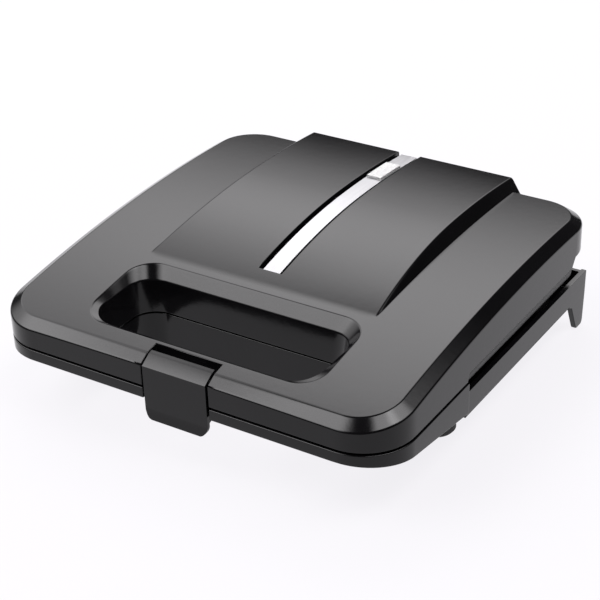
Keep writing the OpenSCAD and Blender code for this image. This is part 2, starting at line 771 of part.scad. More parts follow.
module latch() color(black) in_place() difference() {
    union() {
        intersection() {
            along_x(2 * latch_half) latch_side();
            rotate([90, 0, 0]) translate([0, 0, -20]) linear_extrude(40) latch_front();
        }
        for (s = [-1, 1]) translate([s * 12.5, 0, 0]) intersection() {
            union() {
                translate([0, latch_y, latch_z]) rotate([0, 90, 0])
                    cylinder(h = 12, r = latch_boss_r, center = true);
                box(6, 0.5, latch_y, latch_z - 2.5, 55);
                box(6, latch_y - 3, latch_y + 3, latch_z, 56.2);
            }
            along_x(20) polygon([[20, 40], [20, 56], [5.9, 56], [0.2, 52.4], [0.2, 40]]);
        }
    }
    translate([-40, latch_y, latch_z]) rotate([0, 90, 0])
        cylinder(h = 80, r = latch_pin_r + fit, $fn = 48);
}

// Front view of the latch, (x, z), with round lower corners
module latch_front() {
    low = 22;
    r = 6.5;
    translate([-latch_half, low + r]) square([2 * latch_half, 60 - low - r]);
    translate([-latch_half + r, low]) square([2 * (latch_half - r), r + 1]);
    for (s = [-1, 1]) translate([s * (latch_half - r), low + r]) circle(r);
}

base_shell();
base_liner();
front_feet();
lower_plate();
lower_element();
lower_clamp_bars();
lower_clamp_screws();
lower_reflector();
lower_plate_screws();
base_screws();
thermostat();
thermal_fuse();
terminal_block();
base_wiring();
cord_gland();
hinge_wire_sleeve();
hinge_pins();
lid_shell();
lid_liner();
trim_strip();
indicator_lens();
lamp_holder();
neon_lamps();
upper_plate();
upper_element();
upper_clamp_bars();
upper_clamp_screws();
upper_reflector();
upper_plate_screws();
lid_screws();
lid_wiring();
latch_pin();
latch();
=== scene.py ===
"""Donut maker: the looks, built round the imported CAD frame.

Lengths are in millimetres until a mesh is made. X is across, Y is measured back from the
housing's front wall, Z is up from the table.
"""

import json
import math

import bmesh
import bpy
import numpy as np
from mathutils import Matrix, Vector
from mathutils.geometry import delaunay_2d_cdt


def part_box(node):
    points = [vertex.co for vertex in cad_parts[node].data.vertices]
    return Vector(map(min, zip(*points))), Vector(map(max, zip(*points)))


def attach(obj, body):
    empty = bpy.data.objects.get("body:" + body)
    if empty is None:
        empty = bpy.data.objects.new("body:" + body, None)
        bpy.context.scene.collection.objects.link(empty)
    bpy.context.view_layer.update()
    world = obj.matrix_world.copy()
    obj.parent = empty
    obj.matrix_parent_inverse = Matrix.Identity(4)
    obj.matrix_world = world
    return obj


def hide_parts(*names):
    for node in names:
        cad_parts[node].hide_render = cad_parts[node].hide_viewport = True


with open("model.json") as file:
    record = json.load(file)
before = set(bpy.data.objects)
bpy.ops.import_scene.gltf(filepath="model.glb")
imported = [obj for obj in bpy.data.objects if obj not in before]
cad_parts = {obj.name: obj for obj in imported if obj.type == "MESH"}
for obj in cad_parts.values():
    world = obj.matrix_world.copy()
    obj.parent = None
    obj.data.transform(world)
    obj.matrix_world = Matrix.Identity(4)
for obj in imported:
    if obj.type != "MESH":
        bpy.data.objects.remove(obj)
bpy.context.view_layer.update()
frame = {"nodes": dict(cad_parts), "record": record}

MM = 0.001

# ---- the lid's box, from the frame ----

shell_low, shell_high = [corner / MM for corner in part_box("lid_shell")]
FRONT = shell_low.y
HALF_W = (shell_high.x - shell_low.x) / 2
DEPTH = shell_high.y - shell_low.y
TOP = shell_high.z

# ---- the lid's own sizes ----

CORNER_R = 28.0
WALL = 2.5
LID_BOTTOM = 40.7
STEP_Y, STEP_RUN, SIDE_EDGE = 82.0, 1.7, 45.3
OVERHANG_Y, OVERHANG_RUN, OVERHANG_EDGE = 207.0, 4.0, 50.5

CROWN_Y = 171.0
SHELF_TOP, SHELF_R = TOP - 7.3, 940.0
PANEL_FRONT_R, PANEL_BACK_R = 370.0, 650.0
PANEL_HALF = 70.5
PANEL_SLOPE = 0.61
BEVEL_IN, BEVEL_DROP = 6.5, 4.0
# over the front bar the bevel drops less, most of all in the middle
FRONT_LIFT, FRONT_LIFT_HALF, FRONT_BAR = 1.4, 105.0, 40.0
EDGE_R = 0.8
# how softly the bevel, the panel's side and the panel's foot bend, in millimetres
BEND_BEVEL, BEND_SIDE, BEND_FOOT = 0.3, 1.7, 0.35
# depth and reach of the small roundings at the notch, the recess's mouth and the groove
NOTCH_EDGE = 0.4
MOUTH_EDGE, MOUTH_REACH = 0.3, 0.9
GROOVE_EDGE, GROOVE_REACH = 0.22, 0.4

MOUTH = dict(half=71.0, y0=16.5, y1=71.3, r=15.0)
LEDGE = dict(half=67.0, y0=17.9, y1=66.0, r=14.0)
THROAT = dict(half=64.5, y0=19.0, y1=64.6, r=13.4)
LEDGE_Z = 59.0

NOTCH_HALF, NOTCH_BACK, NOTCH_FLOOR, NOTCH_LOW_BACK = 20.2, 14.0, 46.0, 5.2
GROOVE_HALF, GROOVE_Y, GROOVE_DEPTH = 7.2, 88.4, 2.6
GROOVE_WALL = 0.08
# corner radius that leaves a plan corner as good as square, and a place past the housing's ends
SHARP, BEYOND = 0.01, 400.0

# ---- where the mesh of the lid needs lines ----

CELL = 5.0
INNER_CELL, INNER_HALF, INNER_FRONT, INNER_BACK = 10.0, 110.0, 8.0, 232.0
BEVEL_RINGS = [0.05, 0.2, 0.45, EDGE_R, 1.6, 5.4, 6.0, 6.5, 7.0, 7.7, 9.5]
MOUTH_RINGS = [0.25, 0.55, MOUTH_REACH, 2.0]
# insets and heights of the rounding along the lower edge
LOW_EDGE = [(0, 0.55), (0.14, 0.16), (0.5, 0)]
PANEL_FOOT_Y = 77.9
STEP_BENDS = [0, 0.1, 0.4, 1.0, 1.7, 2.6]
OVERHANG_BENDS = [0, 0.15, 0.6, 1.6, 2.7, 4]

# ---- the lid's hinge knuckles ----

HINGE_Y, HINGE_Z = 226.0, 42.0
KNUCKLE_X, KNUCKLE_HALF = 69.0, 4.7
KNUCKLE_R, KNUCKLE_BORE = 6.0, 2.05
KNUCKLE_WEB, KNUCKLE_UP = 4.5, 19.0


# ---- mesh helpers ----

def mesh_object(name, points, faces, normals=None):
    """Object from points in millimetres, with y from the housing's front."""
    mesh = bpy.data.meshes.new(name)
    mesh.from_pydata([(x * MM, (y + FRONT) * MM, z * MM) for x, y, z in points], [], faces)
    mesh.validate()
    made = bmesh.new()
    made.from_mesh(mesh)
    bmesh.ops.recalc_face_normals(made, faces=made.faces)
    made.to_mesh(mesh)
    made.free()
    mesh.shade_smooth()
    if normals is not None:
        mesh.normals_split_custom_set_from_vertices(normals)
    piece = bpy.data.objects.new(name, mesh)
    bpy.context.scene.collection.objects.link(piece)
    return piece


def weighted_normals(points, faces):
    """Normal of each point, led by the largest faces that meet there."""
    points = np.asarray(points, float)
    total = np.zeros_like(points)
    for face in faces:
        corners = points[list(face)]
        rolled = np.roll(corners, -1, axis=0)
        area = np.cross(corners, rolled).sum(axis=0) / 2
        total[list(face)] += area * np.linalg.norm(area)
    length = np.linalg.norm(total, axis=1, keepdims=True)
    return total / np.maximum(length, 1e-12)


def rounded_outline(half, y0, y1, r, grow=0.0):
    """Closed outline of a rectangle with round corners, with the same count of points for any."""
    arc, side_runs = 10, (6, 24)
    corners = [(half - r, y0 + r, -90), (half - r, y1 - r, 0),
               (-half + r, y1 - r, 90), (-half + r, y0 + r, 180)]

    def on_corner(corner, turn):
        cx, cy, start = corner
        a = math.radians(start + turn)
        return np.array([cx + (r + grow) * math.cos(a), cy + (r + grow) * math.sin(a)])

    points = []
    for k, corner in enumerate(corners):
        points += [on_corner(corner, 90 * i / arc) for i in range(arc + 1)]
        here, there = points[-1], on_corner(corners[(k + 1) % 4], 0)
        n = side_runs[k % 2]
        points += [here + (there - here) * i / n for i in range(1, n)]
    return [tuple(p) for p in points]


def inside(points, outline):
    """Which of the points lie inside a closed outline."""
    points, loop = np.asarray(points), np.asarray(outline)
    x, y = points[:, 0:1], points[:, 1:2]
    x0, y0 = loop[:, 0], loop[:, 1]
    x1, y1 = np.roll(x0, -1), np.roll(y0, -1)
    rise = np.where(y1 == y0, 1e-12, y1 - y0)
    crosses = ((y0 > y) != (y1 > y)) & (x < (x1 - x0) * (y - y0) / rise + x0)
    return crosses.sum(axis=1) % 2 == 1


def triangulate(loops, lines, loose, outer, holes):
    """Triangles of the plan between outer and holes, with edges along every loop and line."""
    points, edges = [], []
    for chain, closed in [(c, True) for c in loops] + [(c, False) for c in lines]:
        start = len(points)
        points += chain
        count = len(chain)
        edges += [(start + i, start + i + 1) for i in range(count - 1)]
        if closed:
            edges.append((start + count - 1, start))
    points += loose
    found = delaunay_2d_cdt([Vector(p) for p in points], edges, [], 0, 1e-6, False)
    plan = [tuple(v) for v in found[0]]
    centres = [np.mean([plan[i] for i in face], axis=0) for face in found[2]]
    keep = inside(centres, outer)
    for hole in holes:
        keep &= ~inside(centres, hole)
    faces = [tuple(face) for face, kept in zip(found[2], keep) if kept]
    used = sorted({i for face in faces for i in face})
    place = {old: new for new, old in enumerate(used)}
    return [plan[i] for i in used], [tuple(place[i] for i in face) for face in faces]


def nearest(points, place):
    """Distance from a plan place to the nearest of the points."""
    return np.min(np.hypot(points[:, 0] - place[0], points[:, 1] - place[1]))


def open_loops(faces):
    """Ordered loops of the edges that only one face has."""
    edges = {}
    for face in faces:
        for a, b in zip(face, face[1:] + face[:1]):
            edges[(a, b)] = edges.get((a, b), 0) + 1
    after = {a: b for a, b in edges if (b, a) not in edges}
    loops = []
    while after:
        start = next(iter(after))
        loop = [start]
        here = after.pop(start)
        while here != start:
            loop.append(here)
            here = after.pop(here)
        loops.append(loop)
    return loops


# ---- shape of the lid's top ----

def smooth_max(a, b, k):
    """The larger of a and b, blended where they differ by less than k."""
    h = np.clip(0.5 + 0.5 * (a - b) / k, 0, 1)
    return b + (a - b) * h + k * h * (1 - h)


def smooth_min(a, b, k):
    """The smaller of a and b, blended where they differ by less than k."""
    return -smooth_max(-a, -b, k)


def arc_height(y, top, r):
    """Height at y of a front-to-back arc of radius r, highest at the crown."""
    return top - r + np.sqrt(r * r - (y - CROWN_Y) ** 2)


def shelf_height(y):
    return arc_height(y, SHELF_TOP, SHELF_R)


def panel_height(y):
    front = arc_height(np.minimum(y, CROWN_Y), TOP, PANEL_FRONT_R)
    back = arc_height(np.maximum(y, CROWN_Y), TOP, PANEL_BACK_R)
    return np.where(y < CROWN_Y, front, back)


def box_distance(x, y, half, y0, y1, r):
    """Distance outside a rectangle with round corners, negative inside."""
    mid = (y0 + y1) / 2
    qx = np.abs(x) - (half - r)
    qy = np.abs(y - mid) - ((y1 - y0) / 2 - r)
    outside = np.hypot(np.maximum(qx, 0), np.maximum(qy, 0))
    return outside + np.minimum(np.maximum(qx, qy), 0) - r


def round_over(d, r):
    """Drop of a round edge of radius r, at distance d from its wall."""
    d = np.clip(d, 0, r)
    return r - np.sqrt(np.maximum(r * r - (r - d) ** 2, 0))


def lid_height(x, y, edges=True):
    """Height of the lid's top. Without edges, the roundings at its walls are left out."""
    inset = -box_distance(x, y, HALF_W, 0, DEPTH, CORNER_R)
    lift = FRONT_LIFT * np.clip(1 - (x / FRONT_LIFT_HALF) ** 2, 0, 1) * (y < FRONT_BAR)
    drop = BEVEL_DROP - lift
    slope = drop / BEVEL_IN
    shelf = shelf_height(y)
    bevelled = smooth_min(shelf, shelf - drop + slope * inset, BEND_BEVEL)
    side = shelf + (PANEL_HALF - np.abs(x)) / PANEL_SLOPE
    panel = smooth_min(side, panel_height(y), BEND_SIDE)
    height = smooth_max(bevelled, panel, BEND_FOOT)
    if not edges:
        return height
    height = height - round_over(inset, EDGE_R)
    notch = box_distance(x, y, NOTCH_HALF, -BEYOND, NOTCH_BACK, SHARP)
    height = height - round_over(notch, NOTCH_EDGE)
    mouth = box_distance(x, y, **MOUTH)
    height = height - MOUTH_EDGE * np.clip(1 - mouth / MOUTH_REACH, 0, 1) ** 2
    in_wall = GROOVE_WALL / 2
    groove = box_distance(x, y, GROOVE_HALF - in_wall, GROOVE_Y + in_wall, BEYOND, SHARP)
    height = height - GROOVE_EDGE * np.clip(1 - (groove - in_wall) / GROOVE_REACH, 0, 1) ** 2
    return height - GROOVE_DEPTH * np.clip(0.5 - groove / GROOVE_WALL, 0, 1)


def lid_low_edge(y):
    """Height of the lid's lower edge, stepped up behind the handle part and over the hinge."""
    def ramp(at, run):
        return np.clip((y - at) / run, 0, 1)
    side = (SIDE_EDGE - LID_BOTTOM) * ramp(STEP_Y, STEP_RUN)
    overhang = (OVERHANG_EDGE - SIDE_EDGE) * ramp(OVERHANG_Y, OVERHANG_RUN)
    return LID_BOTTOM + side + overhang


def spread(low, high, step):
    """Evenly spaced values from low to high, about step apart."""
    n = max(round((high - low) / step), 1)
    return [low + (high - low) * i / n for i in range(n + 1)]


def merged(values, gap=0.02):
    """Sorted values without those closer than gap to the one before."""
    kept = []
    for v in sorted(values):
        if not kept or v - kept[-1] > gap:
            kept.append(v)
    return kept


def housing_chain(inset, start_x=None):
    """Plan outline of the housing from the notch's right side round to its left side."""
    r = CORNER_R - inset
    x1, y0, y1 = HALF_W - inset, inset, DEPTH - inset
    start = NOTCH_HALF if start_x is None else start_x
    bends = [STEP_Y + d for d in STEP_BENDS] + [OVERHANG_Y + d for d in OVERHANG_BENDS]
    side = merged(spread(y0 + r, y1 - r, CELL) + bends, 0.05)
    front = spread(start, x1 - r, CELL)
    back = spread(r - x1, x1 - r, CELL)
    turns = np.radians(np.arange(5, 90, 5))
    half = [(x, y0) for x in front]
    half += [(x1 - r + r * math.sin(a), y0 + r - r * math.cos(a)) for a in turns]
    half += [(x1, y) for y in side]
    half += [(x1 - r + r * math.cos(a), y1 - r + r * math.sin(a)) for a in turns]
    chain = half + [(x, y1) for x in reversed(back)]
    return chain + [(-x, y) for x, y in reversed(half)]


def notch_outline():
    """Open outline of the latch's notch, from its right end round to its left end."""
    corner = [(NOTCH_HALF + 0.22, 0.12), (NOTCH_HALF + 0.05, 0.4)]
    stops = merged(BEVEL_RINGS[3:] + [1.0, 3.4, 12.0, NOTCH_BACK])
    right = corner + [(NOTCH_HALF, y) for y in stops]
    back = [(x, NOTCH_BACK) for x in spread(-NOTCH_HALF, NOTCH_HALF, CELL)][1:-1]
    return [(-x, y) for x, y in right] + back + list(reversed(right))


def notch_lines():
    """Lines along the rounding of the notch's edge."""
    lines = []
    for e in (0.12, NOTCH_EDGE):
        lines.append([(NOTCH_HALF + e, 0.9), (NOTCH_HALF + e, NOTCH_BACK + e),
                      (-NOTCH_HALF - e, NOTCH_BACK + e), (-NOTCH_HALF - e, 0.9)])
    return lines


def groove_lines():
    """Lines along both edges of the strip's groove and round its front end."""
    lines = []
    ys = spread(GROOVE_Y, DEPTH, CELL)[1:-1]
    for grow in (0, -GROOVE_WALL, 0.2, GROOVE_REACH, 1.2):
        x, y = GROOVE_HALF + grow, GROOVE_Y - grow
        right = [(x, DEPTH)] + [(x, v) for v in reversed(ys)] + [(x, y)]
        left = [(-x, y)] + [(-x, v) for v in ys] + [(-x, DEPTH)]
        lines.append(right + [(0, y)] + left)
    return lines


def panel_lines():
    """Lines along the panel's sides, at their top and at their foot, and along its front."""
    lines = []
    ys = np.array([PANEL_FOOT_Y + 0.6] + spread(PANEL_FOOT_Y + 3, DEPTH, CELL))
    rise = PANEL_SLOPE * (panel_height(ys) - shelf_height(ys))
    for sign in (-1, 1):
        for dx in (-1.1, -0.7, -0.35, 0, 0.35, 0.7, 1.1):
            lines.append([(sign * (PANEL_HALF - across + dx), y)
                          for across, y in zip(rise, ys) if dx < across - 0.3])
        for dx in (-0.25, -0.1, 0, 0.1, 0.25):
            lines.append([(sign * (PANEL_HALF + dx), y) for y in ys])
    for dy in (-2.4, -1.2, 0, 1.2, 2.4):
        lines.append([(x, PANEL_FOOT_Y + dy) for x in spread(-PANEL_HALF, PANEL_HALF, CELL)])
    return lines


def lid_plan():
    """Plan triangles of the lid's top skin."""
    outer = housing_chain(0, NOTCH_HALF + 0.6) + notch_outline()
    mouth = rounded_outline(**MOUTH)
    loops = [outer, mouth] + [rounded_outline(**MOUTH, grow=g) for g in MOUTH_RINGS]
    lines = [housing_chain(inset) for inset in BEVEL_RINGS]
    lines += notch_lines() + groove_lines() + panel_lines()
    lines = [line for line in lines if len(line) > 1]
    taken = np.array([p for chain in loops + lines for p in chain])
    grid = [(x, y) for x in spread(-HALF_W, HALF_W, CELL) for y in spread(0, DEPTH, CELL)]
    loose = [p for p in grid if nearest(taken, p) > 1.8]
    return triangulate(loops, lines, loose, outer, [mouth])


def inset_place(x, y, inset):
    """The plan point inset from the housing's wall or the notch at (x, y)."""
    if abs(x) < NOTCH_HALF + 0.7 and y < NOTCH_BACK + 0.1:
        side = abs(x) > NOTCH_HALF - 0.01
        across = math.copysign(NOTCH_HALF + inset, x) if side else x
        back = y + inset if y > NOTCH_BACK - 0.1 else max(y, inset)
        return across, back
    r = CORNER_R
    cx = math.copysign(max(min(abs(x), HALF_W - r), 0), x)
    cy = min(max(y, r), DEPTH - r)
    away = Vector((x - cx, y - cy))
    if away.length < 1e-6:
        return x, y
    away.length -= inset
    return cx + away.x, cy + away.y


def grow_rows(points, faces, loop, rows):
    """Adds rows of quads to a loop of the mesh, and returns the loop of the last row."""
    last = loop
    for row in rows:
        start = len(points)
        points.extend(row)
        ring = list(range(start, start + len(loop)))
        for i in range(len(loop)):
            j = (i + 1) % len(loop)
            faces.append((last[j], last[i], ring[i], ring[j]))
        last = ring
    return last


def underside(x, y):
    """Height of the inner skin, one wall under the lid's top."""
    return float(lid_height(np.float64(x), np.float64(y), False)) - WALL


def wall_rows(edge):
    """Rows that lead the outer walls down from the top's edge and up inside to the inner skin."""
    low = [float(lid_low_edge(np.float64(y))) for x, y, z in edge]
    shallower = NOTCH_LOW_BACK / NOTCH_BACK

    def in_notch(x, y):
        return abs(x) < NOTCH_HALF + 0.01 and y < NOTCH_BACK + 0.01

    def upper_row(share, notch_z, notch_scale):
        row = []
        for (x, y, z), bottom in zip(edge, low):
            if in_notch(x, y):
                row.append((x, y * notch_scale, notch_z))
            else:
                row.append((x, y, bottom + (z - bottom) * share))
        return row

    def lower_row(inset, above):
        row = []
        for (x, y, z), bottom in zip(edge, low):
            across, back = inset_place(x, y, inset) if inset else (x, y)
            if in_notch(x, y):
                at_end = y > NOTCH_BACK - 0.01
                back = y * shallower + inset if at_end else max(y * shallower, inset)
            row.append((across, back, bottom + above))
        return row

    skin = []
    for x, y, z in edge:
        across, back = inset_place(x, y, WALL)
        skin.append((across, back, underside(across, back)))
    return [
        upper_row(0.55, NOTCH_FLOOR + 0.4, 1), upper_row(0.5, NOTCH_FLOOR, shallower),
        *[lower_row(inset, above) for inset, above in LOW_EDGE],
        lower_row(WALL, 0), lower_row(WALL, 2.2), skin]


def recess_rows(rim):
    """Rows that lead the handle recess down from its rim and up inside to the inner skin."""
    mouth, ledge = rounded_outline(**MOUTH), rounded_outline(**LEDGE)
    order = [int(np.argmin([math.dist(point[:2], m) for m in mouth])) for point in rim]
    ledge_z = [min(LEDGE_Z, point[2] - 0.45) for point in rim]
    ledges = [np.array([*ledge[k], z]) for k, z in zip(order, ledge_z)]

    def throat_row(grow, z):
        outline = rounded_outline(**THROAT, grow=grow)
        return [(*outline[k], z) for k in order]

    def mix(a, b, t):
        return [tuple(p + (q - p) * t) for p, q in zip(a, b)]

    seam = [np.array(p) for p in throat_row(0, LID_BOTTOM)]
    bevel_end = mix(rim, ledges, 0.9)
    wall_start = mix(ledges, seam, 0.03)
    middle = [tuple((np.array(a) + np.array(b)) / 2 * 0.5 + c * 0.5)
              for a, b, c in zip(bevel_end, wall_start, ledges)]
    behind = rounded_outline(**MOUTH, grow=1.6)
    skin = [(*behind[k], underside(*behind[k])) for k in order]
    return [
        mix(rim, ledges, 0.1), bevel_end, middle, wall_start, mix(ledges, seam, 0.5),
        *[throat_row(grow, LID_BOTTOM + above) for grow, above in LOW_EDGE],
        throat_row(2, LID_BOTTOM), throat_row(2, LID_BOTTOM + 3), skin]


def add_inner_skin(points, faces, outer_loop, mouth_loop):
    """Closes the moulding with a skin that hangs under the top between the two loops."""
    outer_ring = [points[i][:2] for i in outer_loop]
    mouth_ring = [points[i][:2] for i in mouth_loop]
    taken = np.array(outer_ring + mouth_ring)
    across = spread(-INNER_HALF, INNER_HALF, INNER_CELL)
    grid = [(x, y) for x in across for y in spread(INNER_FRONT, INNER_BACK, INNER_CELL)]
    loose = [p for p in grid if nearest(taken, p) > 4]
    flat, flat_faces = triangulate([outer_ring, mouth_ring], [], loose, outer_ring, [mouth_ring])
    known = {(round(points[i][0], 3), round(points[i][1], 3)): i for i in outer_loop + mouth_loop}
    ids = []
    for x, y in flat:
        key = (round(x, 3), round(y, 3))
        if key not in known:
            known[key] = len(points)
            points.append((x, y, underside(x, y) - 0.4))
        ids.append(known[key])
    faces.extend(tuple(ids[i] for i in reversed(face)) for face in flat_faces)


def top_normals(px, py):
    """Normals of the lid's top at plan places, from the slope of its height."""
    step = 0.02
    across = (lid_height(px + step, py) - lid_height(px - step, py)) / (2 * step)
    along = (lid_height(px, py + step) - lid_height(px, py - step)) / (2 * step)
    normals = np.stack([-across, -along, np.ones_like(across)], axis=1)
    return normals / np.linalg.norm(normals, axis=1, keepdims=True)


def build_lid_cover():
    """The lid's outer moulding: crowned top, walls, handle recess and an inner skin."""
    plan, faces = lid_plan()
    px, py = np.array(plan).T
    points = [(x, y, z) for (x, y), z in zip(plan, lid_height(px, py))]
    top_count = len(points)
    mouth_loop, outer_loop = sorted(open_loops(faces), key=len)[-2:]
    if min(plan[i][1] for i in mouth_loop) < 1:
        mouth_loop, outer_loop = outer_loop, mouth_loop

    edge = [points[i] for i in outer_loop]
    outer_end = grow_rows(points, faces, outer_loop, wall_rows(edge))
    rim = [np.array(points[i]) for i in mouth_loop]
    mouth_end = grow_rows(points, faces, mouth_loop, recess_rows(rim))
    add_inner_skin(points, faces, outer_end, mouth_end)

    normals = weighted_normals(points, faces)
    inner_top = np.ones(top_count, bool)
    inner_top[outer_loop + mouth_loop] = False
    normals[:top_count][inner_top] = top_normals(px, py)[inner_top]
    return mesh_object("lid_cover", points, faces, normals)


def build_knuckle(side):
    """Hinge knuckle of the lid: a bored barrel under a web that runs up into the lid."""
    turn = np.radians(np.arange(0, 360, 5))
    rise = np.maximum(np.sin(turn), 1e-6)
    reach = np.minimum(KNUCKLE_WEB / np.maximum(np.abs(np.cos(turn)), 1e-6), KNUCKLE_UP / rise)
    reach = np.maximum(np.where(np.sin(turn) > 0, reach, 0), KNUCKLE_R)
    points, faces = [], []
    count = len(turn)
    for along, radius in ((-1, KNUCKLE_BORE), (-1, reach), (1, reach), (1, KNUCKLE_BORE)):
        x = side * KNUCKLE_X + along * KNUCKLE_HALF
        y = HINGE_Y + radius * np.cos(turn)
        z = HINGE_Z + radius * np.sin(turn)
        points += [(x, py, pz) for py, pz in zip(y, z)]
    for row in range(4):
        near, far = row * count, (row + 1) % 4 * count
        for i in range(count):
            j = (i + 1) % count
            faces.append((near + i, near + j, far + j, far + i))
    piece = mesh_object("lid_knuckle_right" if side > 0 else "lid_knuckle_left", points, faces)
    soften(piece, 0.3)
    return piece


# ---- materials ----

class Nodes:
    """Short way to make the nodes of a material, laid out in the object's own coordinates."""

    def __init__(self, name):
        self.material = bpy.data.materials.new(name)
        self.material.use_nodes = True
        self.tree = self.material.node_tree
        self.shader = self.tree.nodes["Principled BSDF"]
        self.place = self.tree.nodes.new("ShaderNodeTexCoord").outputs["Object"]

    def add(self, kind, **inputs):
        node = self.tree.nodes.new(kind)
        for key, value in inputs.items():
            self.feed(node.inputs[key.replace("_", " ")], value)
        return node

    def feed(self, socket, value):
        if isinstance(value, bpy.types.NodeSocket):
            self.tree.links.new(value, socket)
        else:
            socket.default_value = value

    def stretched(self, scale):
        node = self.add("ShaderNodeMapping", Vector=self.place)
        node.inputs["Scale"].default_value = scale
        return node.outputs["Vector"]

    def noise(self, scale, detail=3.0, rough=0.5, vector=None):
        node = self.add("ShaderNodeTexNoise", Vector=vector or self.place, Scale=scale,
                        Detail=detail, Roughness=rough)
        return node.outputs["Fac"]

    def ramp(self, value, low, high, low_at=0.3, high_at=0.7):
        node = self.add("ShaderNodeMapRange", Value=value)
        for key, v in zip(("From Min", "From Max", "To Min", "To Max"), (low_at, high_at, low, high)):
            node.inputs[key].default_value = v
        return node.outputs["Result"]

    def colours(self, value, low, high, low_at=0.3, high_at=0.7):
        node = self.add("ShaderNodeValToRGB", Fac=value)
        node.color_ramp.elements[0].position = low_at
        node.color_ramp.elements[1].position = high_at
        node.color_ramp.elements[0].color = (*low, 1)
        node.color_ramp.elements[1].color = (*high, 1)
        return node.outputs["Color"]

    def bump(self, height, distance):
        node = self.add("ShaderNodeBump", Height=height, Distance=distance, Strength=1.0)
        return node.outputs["Normal"]

    def finish(self, **inputs):
        for key, value in inputs.items():
            self.feed(self.shader.inputs[key.replace("_", " ")], value)
        return self.material


def gloss_black():
    n = Nodes("gloss_black")
    haze = n.noise(22, 4)
    ripple = n.noise(260, 2)
    return n.finish(
        Base_Color=n.colours(haze, (0.0018, 0.0017, 0.0020), (0.0030, 0.0028, 0.0033)),
        Roughness=n.ramp(haze, 0.10, 0.15), IOR=1.34,
        Normal=n.bump(ripple, 0.00002))


def satin_black():
    n = Nodes("satin_black")
    grain = n.noise(1500, 3, 0.6)
    return n.finish(
        Base_Color=n.colours(n.noise(60), (0.005, 0.005, 0.0055), (0.009, 0.009, 0.010)),
        Roughness=n.ramp(grain, 0.3, 0.42), IOR=1.25, Normal=n.bump(grain, 0.00006))


def rubber():
    n = Nodes("rubber")
    grain = n.noise(900, 4, 0.65)
    return n.finish(Base_Color=n.colours(grain, (0.010, 0.010, 0.010), (0.022, 0.022, 0.022)),
                    Roughness=n.ramp(grain, 0.6, 0.85), Normal=n.bump(grain, 0.0001))


def non_stick():
    n = Nodes("non_stick")
    fleck = n.add("ShaderNodeTexVoronoi", Vector=n.place, Scale=1100.0).outputs["Color"]
    grain = n.noise(2400, 2)
    coat = n.colours(fleck, (0.028, 0.026, 0.026), (0.075, 0.071, 0.070), 0.2, 0.95)
    return n.finish(Base_Color=coat, Metallic=0.15, Roughness=n.ramp(n.noise(35, 4), 0.3, 0.42),
                    Normal=n.bump(grain, 0.00004))


def heated_steel():
    n = Nodes("element_sheath")
    tint = n.noise(45, 3)
    return n.finish(Base_Color=n.colours(tint, (0.23, 0.19, 0.16), (0.42, 0.40, 0.38)), Metallic=1.0,
                    Roughness=n.ramp(n.noise(400), 0.3, 0.48), Normal=n.bump(n.noise(1200), 0.00004))


def brushed_metal(name, low, high, scale, roughness=(0.28, 0.42)):
    n = Nodes(name)
    streaks = n.noise(1.0, 4, 0.6, n.stretched(scale))
    return n.finish(Base_Color=n.colours(streaks, low, high), Metallic=1.0,
                    Roughness=n.ramp(streaks, *roughness), Normal=n.bump(streaks, 0.00003))


def bright_foil():
    n = Nodes("reflector")
    dents = n.noise(70, 3)
    return n.finish(Base_Color=n.colours(n.noise(500), (0.68, 0.68, 0.69), (0.82, 0.82, 0.83)),
                    Metallic=1.0, Roughness=n.ramp(dents, 0.14, 0.3), Normal=n.bump(dents, 0.0004))


def fibre_braid():
    n = Nodes("braid")
    weave = n.add("ShaderNodeTexWave", Vector=n.place, Scale=420.0, Distortion=1.5)
    threads = weave.outputs["Fac"]
    return n.finish(Base_Color=n.colours(threads, (0.52, 0.49, 0.42), (0.80, 0.77, 0.69)),
                    Roughness=0.85, Normal=n.bump(threads, 0.00025))


def plain_plastic(name, low, high, roughness=(0.4, 0.55)):
    n = Nodes(name)
    grain = n.noise(800, 3)
    return n.finish(Base_Color=n.colours(n.noise(90), low, high), Roughness=n.ramp(grain, *roughness),
                    Normal=n.bump(grain, 0.00005))


def frosted_lens():
    n = Nodes("lens")
    pebbles = n.add("ShaderNodeTexVoronoi", Vector=n.place, Scale=850.0).outputs["Distance"]
    speck = n.noise(1300, 2)
    return n.finish(Base_Color=n.colours(speck, (0.34, 0.34, 0.34), (0.62, 0.62, 0.62)),
                    Roughness=0.32, Normal=n.bump(pebbles, 0.0005))


def lamp_glass():
    n = Nodes("neon_glass")
    haze = n.noise(300)
    return n.finish(Base_Color=n.colours(haze, (0.9, 0.62, 0.42), (0.98, 0.74, 0.55)),
                    Roughness=n.ramp(haze, 0.03, 0.12), Transmission_Weight=0.85)


